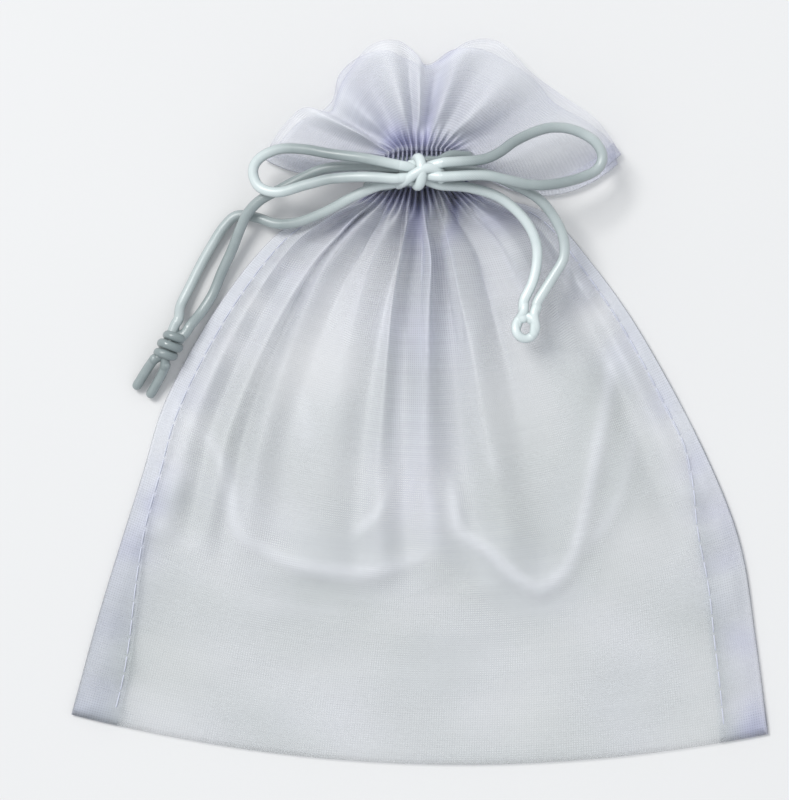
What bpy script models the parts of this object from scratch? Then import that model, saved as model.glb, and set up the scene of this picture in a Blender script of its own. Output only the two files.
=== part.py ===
"""A drawstring gift pouch of sheer cloth, empty, lying on its back with its mouth tied in a bow.

Metres. +X runs across the pouch, +Y runs towards its mouth, and +Z is up from the surface it
lies on. Lists of points are in millimetres, and mm() turns them into metres.
"""

import math

import bmesh
import bpy
from mathutils import Vector

MM = 0.001

# Cloth. Each panel is far thicker here than the real cloth, so that it is a sound solid.
CLOTH = 0.6 * MM
GAP = 0.3 * MM
STRIP = 0.4 * MM  # the turned-in seam allowance
SEAM_WIDTH = 7.0 * MM
THREAD_RADIUS = 0.2 * MM
FRONT_BASE = CLOTH + GAP + STRIP + GAP  # the front panel's underside along its edges
BOTTOM_BULGE = 5.75 * MM  # how far the bottom fold bows out below its corners
NECK_PUFF = 3.9 * MM  # how far the front panel stands above FRONT_BASE at the neck
BOTTOM_PUFF = 0.6 * MM

# The gathered channel round the neck
CHANNEL_START = 29.3 * MM
CHANNEL_END = 36.7 * MM
CHANNEL_HALF = (6.4 * MM, 3.3 * MM)  # half width and half height
CHANNEL_WALL = 0.6 * MM
PLEAT_DEPTH = 0.2 * MM
PLEATS = 18
CHANNEL_HEIGHT = CHANNEL_HALF[1] + PLEAT_DEPTH  # its centre line, above the surface

# Cord
CORD_RADIUS = 0.75 * MM
LEFT_CORD_Y = 30.9 * MM  # where the left drawstring's first end leaves the channel
RIGHT_CORD_Y = 33.5 * MM
CORD_PITCH = 1.6 * MM  # from a drawstring's first end to its second

# The bow's knot, round in plan, so that what swings about it keeps its distance
KNOT_CENTRE = Vector((0.0, 32.6 * MM, 10.4 * MM))
KNOT_RADIUS = 2.9 * MM
KNOT_HALF_HEIGHT = 2.0 * MM

# Joint lines
HEADER_HINGE = Vector((0.0, CHANNEL_END + 0.2 * MM, CHANNEL_HEIGHT))
LOOP_HINGE_X = 3.0 * MM
LOOP_HINGE_Z = 11.35 * MM

# Outlines and routes
LEFT_EDGE = (
    (-50.05, -44.8), (-45.9, -29.7), (-40.1, -11.1), (-36.5, 0.4),
    (-29.4, 13.3), (-21.5, 23.3), (-15.2, 27.4), (-9.6, 29.0),
)
RIGHT_EDGE = (
    (50.05, -47.6), (48.3, -34.0), (45.9, -19.7), (40.1, -5.4),
    (31.5, 10.4), (24.4, 20.4), (18.4, 27.2), (12.4, 29.0),
)
HEADER_RIM = (
    (-21.8, 36.5), (-19.7, 39.6), (-16.8, 42.0), (-12.4, 41.9), (-10.9, 46.4),
    (-7.4, 50.9), (-3.2, 51.8), (0.9, 48.2), (3.4, 49.4), (7.2, 51.75),
    (11.5, 51.6), (15.8, 47.3), (20.1, 44.2), (25.4, 40.3), (28.7, 36.6),
)
LOOP_LEFT = (
    (-3.5, 33.6, 11.35), (-8.0, 34.5, 11.2), (-12.8, 35.2, 10.2), (-16.5, 35.9, 8.8),
    (-20.0, 36.0, 7.3), (-22.8, 34.8, 6.2), (-23.8, 32.9, 5.8), (-22.9, 30.7, 6.0),
    (-20.2, 29.9, 6.8), (-16.2, 30.9, 8.1), (-12.5, 31.7, 9.5), (-8.0, 31.9, 10.9),
    (-3.5, 31.6, 11.35),
)
LOOP_RIGHT = (
    (3.5, 33.9, 11.35), (8.6, 34.3, 11.2), (11.1, 35.3, 10.8), (13.3, 36.9, 10.1),
    (16.1, 38.3, 9.2), (18.8, 39.0, 8.4), (21.8, 38.7, 7.6), (24.7, 37.2, 6.9),
    (25.9, 35.1, 6.6), (25.2, 33.2, 6.8), (23.0, 32.0, 7.7), (20.3, 31.2, 8.7),
    (17.5, 30.8, 9.4), (15.0, 30.9, 10.0), (12.2, 31.5, 10.7), (8.9, 32.1, 11.2),
    (3.5, 31.9, 11.35),
)
TAIL_LEFT_INNER = (
    (-3.35, 33.3, 9.3), (-8.3, 33.6, 8.1), (-13.3, 33.3, 6.8), (-16.8, 32.0, 5.8),
    (-20.2, 30.3, 4.9), (-22.8, 28.9, 4.2), (-24.6, 27.1, 3.55), (-25.7, 24.9, 2.8),
    (-26.9, 21.9, 2.1), (-28.4, 18.7, 1.5), (-29.7, 15.6, 1.1), (-31.4, 12.9, 1.4),
)
TAIL_LEFT_OUTER = (
    (-3.1, 31.2, 9.3), (-6.0, 30.7, 8.7), (-9.6, 29.2, 7.4), (-13.5, 27.2, 5.6),
    (-17.3, 25.8, 3.9), (-20.6, 25.6, 2.5), (-23.4, 26.5, 1.7), (-26.2, 26.8, 1.4),
    (-28.1, 25.2, 1.2), (-29.8, 22.6, 1.05), (-31.4, 19.8, 0.95), (-33.0, 16.6, 1.0),
    (-34.3, 13.9, 1.4),
)
TAIL_RIGHT_FRONT = (
    (2.9, 30.8, 9.3), (6.7, 30.5, 8.7), (10.6, 29.4, 7.9), (13.3, 27.6, 7.3),
    (15.4, 25.2, 6.8), (16.5, 22.6, 6.5), (16.6, 20.0, 6.4), (16.0, 17.2, 6.5),
)
TAIL_RIGHT_BACK = (
    (3.4, 32.9, 9.3), (8.5, 32.6, 8.9), (12.9, 31.1, 8.1), (16.6, 29.1, 7.3),
    (18.9, 26.5, 6.8), (20.3, 23.6, 6.5), (20.4, 20.6, 6.4), (18.9, 17.9, 6.5),
)
# Each end knot's centre, the way its cords run through it, and how far those cords lie apart
END_KNOT_LEFT = ((-35.8, 8.1, 2.4), (-0.52, -0.854, 0.0))
END_KNOT_RIGHT = ((15.0, 10.7, 7.4), (-0.2, -0.98, 0.0))
END_KNOT_HALF = (2.6 * MM, 2.1 * MM)  # half length and half width
CORD_SPREAD = 0.95 * MM
TIP_LENGTH = 5.0 * MM


def mm(*values):
    """A vector in metres from numbers in millimetres."""
    return Vector(values) * MM


def clear_scene():
    for old in list(bpy.data.objects):
        bpy.data.objects.remove(old)


def material(name, colour, roughness):
    """One Principled material, with a colour, an alpha and a roughness."""
    made = bpy.data.materials.new(name)
    made.use_nodes = True
    shader = made.node_tree.nodes["Principled BSDF"]
    shader.inputs["Base Color"].default_value = (*colour[:3], 1.0)
    shader.inputs["Alpha"].default_value = colour[3]
    shader.inputs["Roughness"].default_value = roughness
    shader.inputs["Metallic"].default_value = 0.0
    return made


def node(name, data, surface):
    """An object in the scene that holds this mesh or curve, with its own material."""
    made = bpy.data.objects.new(name, data)
    bpy.context.scene.collection.objects.link(made)
    data.materials.append(material(name, *surface))
    return made


ORGANZA = ((0.80, 0.82, 0.90, 0.55), 0.45)
DOUBLED = ((0.70, 0.71, 0.86, 0.85), 0.45)
THREAD = ((0.74, 0.75, 0.86, 1.0), 0.6)
SATIN_CORD = ((0.80, 0.88, 0.86, 1.0), 0.3)


# Curves

def smooth(points, spacing):
    """Points about spacing apart along a Catmull-Rom curve through these points."""
    ends = [points[0] * 2 - points[1], *points, points[-1] * 2 - points[-2]]
    fine = []
    steps = 24
    for a, b, c, d in zip(ends, ends[1:], ends[2:], ends[3:]):
        for i in range(steps):
            t = i / steps
            fine.append(
                0.5 * (2 * b + (c - a) * t + (2 * a - 5 * b + 4 * c - d) * t**2
                       + (3 * b - a - 3 * c + d) * t**3)
            )
    fine.append(points[-1])
    length = sum((q - p).length for p, q in zip(fine, fine[1:]))
    count = max(round(length / spacing), 2)
    return [along(fine, i / count) for i in range(count + 1)]


def along(points, share):
    """The point this share of the way along a chain of points."""
    lengths = [(q - p).length for p, q in zip(points, points[1:])]
    left = share * sum(lengths)
    for (p, q), length in zip(zip(points, points[1:]), lengths):
        if left <= length:
            return p.lerp(q, left / length)
        left -= length
    return points[-1].copy()


def tube(name, points, radius, surface, sides=2, closed=False):
    """A round cord or thread through these points, as a curve with a bevel and filled caps."""
    data = bpy.data.curves.new(name, "CURVE")
    data.dimensions = "3D"
    data.bevel_depth = radius
    data.bevel_resolution = sides
    data.use_fill_caps = not closed
    spline = data.splines.new("POLY")
    spline.points.add(len(points) - 1)
    for place, point in zip(spline.points, points):
        place.co = (*point, 1.0)
    spline.use_cyclic_u = closed
    spline.use_smooth = True
    return node(name, data, surface)


# Cloth solids

def slab(name, upper, lower, columns, rows, surface):
    """A closed sheet between upper(u, v) and lower(u, v), where u and v run from 0 to 1."""
    mesh = bmesh.new()
    grids = []
    for side in (upper, lower):
        grids.append([
            [mesh.verts.new(side(i / columns, j / rows)) for i in range(columns + 1)]
            for j in range(rows + 1)
        ])
    top, under = grids
    for j in range(rows):
        for i in range(columns):
            mesh.faces.new((top[j][i], top[j][i + 1], top[j + 1][i + 1], top[j + 1][i]))
            mesh.faces.new((under[j][i], under[j + 1][i], under[j + 1][i + 1], under[j][i + 1]))
    for i in range(columns):
        mesh.faces.new((under[0][i], under[0][i + 1], top[0][i + 1], top[0][i]))
        mesh.faces.new((top[rows][i], top[rows][i + 1], under[rows][i + 1], under[rows][i]))
    for j in range(rows):
        mesh.faces.new((top[j][0], top[j + 1][0], under[j + 1][0], under[j][0]))
        mesh.faces.new((under[j][columns], under[j + 1][columns],
                        top[j + 1][columns], top[j][columns]))
    bmesh.ops.recalc_face_normals(mesh, faces=mesh.faces)
    data = bpy.data.meshes.new(name)
    mesh.to_mesh(data)
    mesh.free()
    data.shade_smooth()
    data.set_sharp_from_angle(angle=math.radians(40))
    return node(name, data, surface)


def outline(points):
    """A dense chain of points along a smooth outline in the plane of the surface."""
    return smooth([mm(*p, 0.0) for p in points], 1.0 * MM)


def panel_point(edges, u, v, height):
    """A point of a body panel: u runs from the left edge to the right, v from the fold up."""
    left, right = (along(edge, v) for edge in edges)
    point = left.lerp(right, u)
    point.y -= BOTTOM_BULGE * 4 * u * (1 - u) * (1 - v) ** 6
    point.z = height
    return point


def puff(u, v):
    """How far the front panel stands above FRONT_BASE."""
    return (BOTTOM_PUFF + (NECK_PUFF - BOTTOM_PUFF) * v) * (4 * u * (1 - u)) ** 0.6


def add_panels(edges):
    slab(
        "back_panel",
        lambda u, v: panel_point(edges, u, v, CLOTH),
        lambda u, v: panel_point(edges, u, v, 0.0),
        12, 16, ORGANZA,
    )
    slab(
        "front_panel",
        lambda u, v: panel_point(edges, u, v, FRONT_BASE + CLOTH + puff(u, v)),
        lambda u, v: panel_point(edges, u, v, FRONT_BASE + puff(u, v)),
        20, 20, ORGANZA,
    )


def seam_point(edges, side, inward, v, height):
    """A point at a distance inward from a side edge; side is 0 on the left and 1 on the right."""
    width = (along(edges[1], v) - along(edges[0], v)).length
    u = inward / width
    return panel_point(edges, u if side == 0 else 1 - u, v, height)


def add_side_seam(edges, side, name):
    """The turned-in seam allowance between the panels, and the thread that closes it."""
    low, high = 0.012, 0.93
    outer, inner = 0.4 * MM, SEAM_WIDTH
    base = CLOTH + GAP

    def strip(height):
        return lambda u, v: seam_point(
            edges, side, outer + (inner - outer) * u, low + (high - low) * v, height
        )

    slab(f"{name}_side_seam", strip(base + STRIP), strip(base), 2, 20, DOUBLED)
    line = []
    for i in range(29):
        v = 0.03 + 0.87 * i / 28
        point = seam_point(edges, side, SEAM_WIDTH - 0.8 * MM, v, 0.0)
        width = (along(edges[1], v) - along(edges[0], v)).length
        u = (SEAM_WIDTH - 0.8 * MM) / width
        point.z = FRONT_BASE + CLOTH + puff(u, v) + GAP + THREAD_RADIUS + 0.1 * MM
        line.append(point)
    tube(f"{name}_seam_stitching", line, THREAD_RADIUS, THREAD, sides=1)


# The gathered neck

def ellipse(half, angle, y, centre_z):
    """A point of an ellipse round the neck; the angle is measured from +X towards +Z."""
    return Vector((half[0] * math.cos(angle), y, centre_z + half[1] * math.sin(angle)))


def cut(target, name, low, high):
    """Cuts a box out of an object with an EXACT Boolean."""
    mesh = bmesh.new()
    bmesh.ops.create_cube(mesh, size=1.0)
    bmesh.ops.scale(mesh, vec=high - low, verts=mesh.verts)
    bmesh.ops.translate(mesh, vec=(high + low) / 2, verts=mesh.verts)
    data = bpy.data.meshes.new(name)
    mesh.to_mesh(data)
    mesh.free()
    cutter = bpy.data.objects.new(name, data)
    bpy.context.scene.collection.objects.link(cutter)
    cutter.hide_render = True
    cutter.display_type = "WIRE"
    boolean = target.modifiers.new(name, "BOOLEAN")
    boolean.operation = "DIFFERENCE"
    boolean.object = cutter


def add_channel():
    """The sewn channel, crushed into a pleated sleeve that is open at both ends."""
    turns = PLEATS * 4
    inner = tuple(half - CHANNEL_WALL for half in CHANNEL_HALF)
    mesh = bmesh.new()
    rings = []
    for y, inside in (
        (CHANNEL_START, False), (CHANNEL_END, False), (CHANNEL_END, True), (CHANNEL_START, True)
    ):
        ring = []
        for i in range(turns):
            angle = 2 * math.pi * i / turns
            depth = PLEAT_DEPTH * math.cos(PLEATS * angle)
            half = inner if inside else tuple(h + depth for h in CHANNEL_HALF)
            ring.append(mesh.verts.new(ellipse(half, angle, y, CHANNEL_HEIGHT)))
        rings.append(ring)
    for one, other in zip(rings, [*rings[1:], rings[0]]):
        for i in range(turns):
            j = (i + 1) % turns
            mesh.faces.new((one[i], one[j], other[j], other[i]))
    bmesh.ops.recalc_face_normals(mesh, faces=mesh.faces)
    data = bpy.data.meshes.new("gathered_channel")
    mesh.to_mesh(data)
    mesh.free()
    channel = node("gathered_channel", data, DOUBLED)
    clear = CORD_RADIUS + GAP
    for side, first in ((-1, LEFT_CORD_Y), (1, RIGHT_CORD_Y)):
        ends = sorted((side * 4.4 * MM, side * 8.0 * MM))
        low = Vector((ends[0], first - clear, CHANNEL_HEIGHT - 2.1 * MM))
        high = Vector((ends[1], first + CORD_PITCH + clear, CHANNEL_HEIGHT + 2.0 * MM))
        cut(channel, "left_exit" if side < 0 else "right_exit", low, high)


def add_channel_stitching():
    """The channel's two rows of stitches, over the front half, which faces up."""
    rise = PLEAT_DEPTH + GAP + THREAD_RADIUS
    half = tuple(h + rise for h in CHANNEL_HALF)
    inset = 0.3 * MM
    for name, y in (("lower", CHANNEL_START + inset), ("upper", CHANNEL_END - inset)):
        row = [
            ellipse(half, math.radians(12 + 156 * i / 28), y, CHANNEL_HEIGHT)
            for i in range(29)
        ]
        tube(f"channel_stitching_{name}", row, THREAD_RADIUS, THREAD, sides=1)


def drawstring_route(side, first):
    """From the bow's knot over the neck's shoulder, in at the exit, once round, and back.

    The route is worked out for the left cord and mirrored for the right one.
    """
    outside = tuple(h + PLEAT_DEPTH + GAP + CORD_RADIUS for h in CHANNEL_HALF)
    inside = tuple(h - CHANNEL_WALL - GAP - CORD_RADIUS for h in CHANNEL_HALF)
    knot_y = KNOT_CENTRE.y

    def over(degrees, y):
        return ellipse(outside, math.radians(degrees), y, CHANNEL_HEIGHT)

    def within(degrees, share):
        y = first + CORD_PITCH * share
        return ellipse(inside, math.radians(degrees), y, CHANNEL_HEIGHT)

    near, far = first, first + CORD_PITCH
    points = [
        over(110, knot_y * 0.45 + near * 0.55 - 0.3 * MM),
        over(128, near),
        over(146, near),
        over(163, near),
        mm(-7.2, near / MM, 3.2),
        mm(-6.0, near / MM, 2.7),
    ]
    points += [within(degrees, i / 8) for i, degrees in enumerate(range(215, 531, 39))]
    points += [
        mm(-5.2, far / MM, 4.3),
        mm(-6.4, far / MM, 4.5),
        mm(-6.9, far / MM, 5.3),
        over(138, far),
        over(124, far),
        over(110, knot_y * 0.45 + far * 0.55 + 0.3 * MM),
    ]
    if side > 0:
        points = [Vector((-p.x, p.y, p.z)) for p in points]
    return smooth(points, 1.5 * MM)


def ellipsoid(name, centre, along_axis, half_length, half_width, half_height, surface):
    """A closed egg shape, its length along a direction in the plane of the surface."""
    mesh = bmesh.new()
    bmesh.ops.create_uvsphere(mesh, u_segments=20, v_segments=12, radius=1.0)
    bmesh.ops.scale(mesh, vec=(half_length, half_width, half_height), verts=mesh.verts)
    data = bpy.data.meshes.new(name)
    mesh.to_mesh(data)
    mesh.free()
    data.shade_smooth()
    made = node(name, data, surface)
    made.location = centre
    made.rotation_euler = (0.0, 0.0, math.atan2(along_axis[1], along_axis[0]))
    return made


def add_bow_knot():
    ellipsoid("bow_knot", KNOT_CENTRE, (1.0, 0.0), KNOT_RADIUS, KNOT_RADIUS,
              KNOT_HALF_HEIGHT, SATIN_CORD)


# The header above the channel

def header_point(rim, u, v, height, root_y):
    """A point of the header: u runs round it from the left, v from the neck to the rim."""
    root = Vector((CHANNEL_HALF[0] * (2 * u - 1), root_y, 0.0))
    point = root.lerp(along(rim, u), v)
    point.z = height
    return point


def add_header(pivot):
    rim = outline(HEADER_RIM)
    back_root = CHANNEL_END + 0.4 * MM
    front_root = CHANNEL_END + 1.8 * MM
    front_height = 4.6 * MM

    def swell(u, v):
        return front_height * (1 - v) ** 1.3 * (4 * u * (1 - u)) ** 0.5

    back = slab(
        "header_back",
        lambda u, v: header_point(rim, u, v, CLOTH, back_root),
        lambda u, v: header_point(rim, u, v, 0.0, back_root),
        28, 8, ORGANZA,
    )
    front = slab(
        "header_front",
        lambda u, v: header_point(rim, u, v, 2 * CLOTH + GAP + swell(u, v), front_root),
        lambda u, v: header_point(rim, u, v, CLOTH + GAP + swell(u, v), front_root),
        28, 8, ORGANZA,
    )
    hang(pivot, back, front)


# The bow

def empty(name, place):
    made = bpy.data.objects.new(name, None)
    made.location = place
    made.empty_display_size = 5 * MM
    bpy.context.scene.collection.objects.link(made)
    return made


def hang(pivot, *pieces):
    """Parents pieces to a joint's empty and leaves them where they are."""
    bpy.context.view_layer.update()
    for piece in pieces:
        piece.parent = pivot
        piece.matrix_parent_inverse = pivot.matrix_world.inverted()


def add_loop(name, route, side):
    loop = tube(name, smooth([mm(*p) for p in route], 1.6 * MM), CORD_RADIUS, SATIN_CORD)
    place = Vector((side * LOOP_HINGE_X, KNOT_CENTRE.y, LOOP_HINGE_Z))
    hang(empty(f"{name}_lift", place), loop)


def add_tail(name, routes, knot, tips):
    """Two strands, the knot that joins their ends, and the tips beyond it."""
    centre = mm(*knot[0])
    way = Vector(knot[1]).normalized()
    across = Vector((-way.y, way.x, 0.0))
    reach = END_KNOT_HALF[0] + 0.4 * MM
    pieces = []
    for (strand, route), side in zip(routes, (-1, 1)):
        entry = centre - way * reach + across * CORD_SPREAD * side
        points = [mm(*p) for p in route] + [entry - way * 1.0 * MM, entry]
        pieces.append(
            tube(f"tail_{name}_{strand}", smooth(points, 2.0 * MM), CORD_RADIUS, SATIN_CORD)
        )
    pieces.append(
        ellipsoid(f"end_knot_{name}", centre, way, *END_KNOT_HALF, END_KNOT_HALF[1], SATIN_CORD)
    )
    for label, side in zip(tips, (-1, 1)):
        start = centre + way * reach + across * CORD_SPREAD * side
        drop = Vector((0.0, 0.0, CORD_RADIUS + 0.2 * MM - centre.z))
        points = [start, start + way * 2 * MM + drop * 0.6, start + way * TIP_LENGTH + drop]
        pieces.append(
            tube(f"cord_tip_{name}_{label}", smooth(points, 1.2 * MM), CORD_RADIUS, SATIN_CORD)
        )
    hang(empty(f"tail_{name}_swing", KNOT_CENTRE), *pieces)


def main():
    clear_scene()
    edges = (outline(LEFT_EDGE), outline(RIGHT_EDGE))
    add_panels(edges)
    add_side_seam(edges, 0, "left")
    add_side_seam(edges, 1, "right")
    add_channel()
    add_channel_stitching()
    tube("left_drawstring", drawstring_route(-1, LEFT_CORD_Y), CORD_RADIUS, SATIN_CORD)
    tube("right_drawstring", drawstring_route(1, RIGHT_CORD_Y), CORD_RADIUS, SATIN_CORD)
    add_bow_knot()
    add_header(empty("header_fold", HEADER_HINGE))
    add_loop("bow_loop_left", LOOP_LEFT, -1)
    add_loop("bow_loop_right", LOOP_RIGHT, 1)
    add_tail(
        "left", (("outer", TAIL_LEFT_OUTER), ("inner", TAIL_LEFT_INNER)),
        END_KNOT_LEFT, ("a", "b"),
    )
    add_tail(
        "right", (("front", TAIL_RIGHT_FRONT), ("back", TAIL_RIGHT_BACK)),
        END_KNOT_RIGHT, (),
    )


main()
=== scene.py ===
"""The looks of a drawstring gift pouch: sheer organza, satin cord and stitching, over its CAD frame.

Lengths in this file are in millimetres until a mesh is made, which turns them into metres.
"""

import math

import bpy
import numpy as np
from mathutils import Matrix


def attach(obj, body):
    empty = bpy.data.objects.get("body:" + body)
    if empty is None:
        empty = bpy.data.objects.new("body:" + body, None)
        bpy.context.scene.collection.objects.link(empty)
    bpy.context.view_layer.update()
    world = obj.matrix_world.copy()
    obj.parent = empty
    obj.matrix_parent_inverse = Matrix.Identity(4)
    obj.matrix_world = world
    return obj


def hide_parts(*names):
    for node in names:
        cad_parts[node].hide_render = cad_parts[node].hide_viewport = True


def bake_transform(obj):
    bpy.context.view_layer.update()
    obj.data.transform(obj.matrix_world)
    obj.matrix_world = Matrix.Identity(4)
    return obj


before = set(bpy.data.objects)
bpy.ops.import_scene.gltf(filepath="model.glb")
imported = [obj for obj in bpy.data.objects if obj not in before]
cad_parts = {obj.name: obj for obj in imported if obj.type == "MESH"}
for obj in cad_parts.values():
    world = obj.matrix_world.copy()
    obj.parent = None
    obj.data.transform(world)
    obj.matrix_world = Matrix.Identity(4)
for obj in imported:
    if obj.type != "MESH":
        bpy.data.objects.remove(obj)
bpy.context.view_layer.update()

MM = 0.001


# Camera and light ---------------------------------------------------------------------------

VIEW_HEIGHT = 114.6
VIEW_CENTRE = (-3.65, 0.36)
LENS = 200.0
SENSOR = 36.0


def add_camera():
    """A camera straight above the pouch, with +Y up the picture."""
    data = bpy.data.cameras.new("camera")
    data.lens = LENS
    data.sensor_width = SENSOR
    data.clip_end = 10.0
    camera = bpy.data.objects.new("camera", data)
    camera.location = (
        VIEW_CENTRE[0] * MM, VIEW_CENTRE[1] * MM, (VIEW_HEIGHT * LENS / SENSOR + 2.0) * MM
    )
    bpy.context.scene.collection.objects.link(camera)
    bpy.context.scene.camera = camera


def add_lamp(name, place, size, power, colour):
    """A square soft box that faces the pouch."""
    data = bpy.data.lights.new(name, "AREA")
    data.shape = "SQUARE"
    data.size = size
    data.energy = power
    data.color = colour
    lamp = bpy.data.objects.new(name, data)
    lamp.location = place
    x, y, z = place
    lamp.rotation_euler = (math.atan2(math.hypot(x, y), z), 0.0, math.atan2(y, x) + math.pi / 2)
    bpy.context.scene.collection.objects.link(lamp)


def add_light():
    scene = bpy.context.scene
    scene.view_settings.view_transform = "Standard"
    scene.cycles.transparent_max_bounces = 64
    world = bpy.data.worlds.new("studio")
    world.use_nodes = True
    background = world.node_tree.nodes["Background"]
    background.inputs["Color"].default_value = (0.93, 0.96, 1.0, 1.0)
    background.inputs["Strength"].default_value = 0.66
    scene.world = world
    add_lamp("key", (-1.05, 1.0, 1.9), 0.9, 34.0, (1.0, 0.99, 0.97))


# Node helpers -------------------------------------------------------------------------------

class Nodes:
    """A material's node tree, with short ways to add to it."""

    def __init__(self, name):
        self.material = bpy.data.materials.new(name)
        self.material.use_nodes = True
        self.tree = self.material.node_tree
        self.shader = self.tree.nodes["Principled BSDF"]

    def add(self, kind, **settings):
        made = self.tree.nodes.new(kind)
        for key, value in settings.items():
            setattr(made, key, value)
        return made

    def put(self, value, socket):
        """Links an output to a socket, or sets the socket to a number, a vector or a colour."""
        if isinstance(value, bpy.types.NodeSocket):
            self.tree.links.new(value, socket)
        else:
            socket.default_value = value

    def math(self, operation, first, second=0.0, clamp=False):
        made = self.add("ShaderNodeMath", operation=operation, use_clamp=clamp)
        self.put(first, made.inputs[0])
        self.put(second, made.inputs[1])
        return made.outputs[0]

    def attribute(self, name):
        return self.add("ShaderNodeAttribute", attribute_name=name)

    def split(self, vector):
        made = self.add("ShaderNodeSeparateXYZ")
        self.put(vector, made.inputs[0])
        return made.outputs

    def scaled(self, vector, scale):
        made = self.add("ShaderNodeVectorMath", operation="MULTIPLY")
        self.put(vector, made.inputs[0])
        made.inputs[1].default_value = scale
        return made.outputs[0]

    def noise(self, vector, scale, detail=2.0, roughness=0.5):
        made = self.add("ShaderNodeTexNoise")
        self.put(vector, made.inputs["Vector"])
        made.inputs["Scale"].default_value = scale
        made.inputs["Detail"].default_value = detail
        made.inputs["Roughness"].default_value = roughness
        return made.outputs["Fac"]

    def ramp(self, factor, stops):
        made = self.add("ShaderNodeValToRGB")
        self.put(factor, made.inputs[0])
        points = made.color_ramp.elements
        while len(points) < len(stops):
            points.new(1.0)
        for point, (place, colour) in zip(points, stops):
            point.position = place
            point.color = (*colour, 1.0)
        return made.outputs[0]

    def mix(self, factor, first, second, blend="MIX"):
        made = self.add("ShaderNodeMix", data_type="RGBA", blend_type=blend)
        self.put(factor, made.inputs[0])
        self.put(first if not isinstance(first, tuple) else (*first, 1.0), made.inputs[6])
        self.put(second if not isinstance(second, tuple) else (*second, 1.0), made.inputs[7])
        return made.outputs[2]

    def bump(self, height, strength, distance):
        made = self.add("ShaderNodeBump")
        self.put(height, made.inputs["Height"])
        made.inputs["Strength"].default_value = strength
        made.inputs["Distance"].default_value = distance
        return made.outputs["Normal"]

    def set(self, **values):
        for key, value in values.items():
            self.put(value, self.shader.inputs[key.replace("_", " ")])


# Materials ----------------------------------------------------------------------------------

THREAD_PITCH = 0.36


def organza():
    """Sheer silver lavender cloth: its opacity comes from how densely its threads lie."""
    n = Nodes("organza")
    cloth = n.attribute("cloth").outputs["Vector"]
    dense = n.attribute("dense").outputs["Fac"]
    layering_and_shade = n.attribute("layering_and_shade").outputs["Fac"]
    painted_highlight = n.attribute("painted_highlight").outputs["Fac"]
    across, along, _ = n.split(cloth)
    per_mm = 2 * math.pi / THREAD_PITCH
    warp = n.math("SINE", n.math("MULTIPLY", across, per_mm))
    weft = n.math("SINE", n.math("MULTIPLY", along, per_mm))
    grid = n.math("MAXIMUM", warp, weft)
    slub = n.noise(n.scaled(cloth, (0.035, 0.9, 1.0)), 1.0, 3.0, 0.6)
    fleck = n.noise(n.scaled(cloth, (0.6, 0.05, 1.0)), 1.0, 2.0, 0.6)
    cloud = n.noise(n.scaled(cloth, (0.07, 0.07, 1.0)), 1.0, 2.0, 0.55)
    # How much light one layer lets through, thread by thread
    through = n.math("SUBTRACT", 0.885, n.math("MULTIPLY", grid, 0.045))
    through = n.math("SUBTRACT", through, n.math("MULTIPLY", slub, 0.09))
    through = n.math("SUBTRACT", through, n.math("MULTIPLY", fleck, 0.035))
    alpha = n.math("SUBTRACT", 1.0, n.math("POWER", through, dense), clamp=True)
    silver = n.mix(cloud, (0.82, 0.855, 0.855), (0.79, 0.79, 0.90))
    # The ramp darkens the cloth: the lavender that many layers build up where the cloth gathers, and
    # painted shade, running on to near black in the gathered neck and in the valleys of its pleats
    # and folds.
    layered_tint_and_shade = n.ramp(layering_and_shade, (
        (0.0, (1.0, 1.0, 1.0)), (0.30, (0.80, 0.80, 0.98)),
        (0.62, (0.30, 0.31, 0.55)), (1.0, (0.05, 0.055, 0.16)),
    ))
    colour = n.mix(1.0, silver, layered_tint_and_shade, "MULTIPLY")
    # A painted shadow: grey laid over the cloth in soft patches.
    grey_and_shadow = n.attribute("grey_and_shadow").outputs["Fac"]
    colour = n.mix(grey_and_shadow, colour, (0.62, 0.66, 0.66))
    # A painted highlight: near white on the crests of folds and lobes.
    colour = n.mix(painted_highlight, colour, (0.93, 0.95, 1.0))
    weave = n.math("ADD", n.math("MULTIPLY", grid, 0.6), slub)
    n.set(
        Base_Color=colour, Alpha=alpha, Roughness=0.42, Sheen_Weight=0.35, Sheen_Roughness=0.35,
        Normal=n.bump(weave, 0.35, 0.00010),
    )
    n.shader.inputs["Specular IOR Level"].default_value = 0.45
    n.shader.inputs["Sheen Tint"].default_value = (0.92, 0.94, 1.0, 1.0)
    return n.material


BRAID_PITCH = 0.36
BRAID_STRANDS = 12


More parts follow.
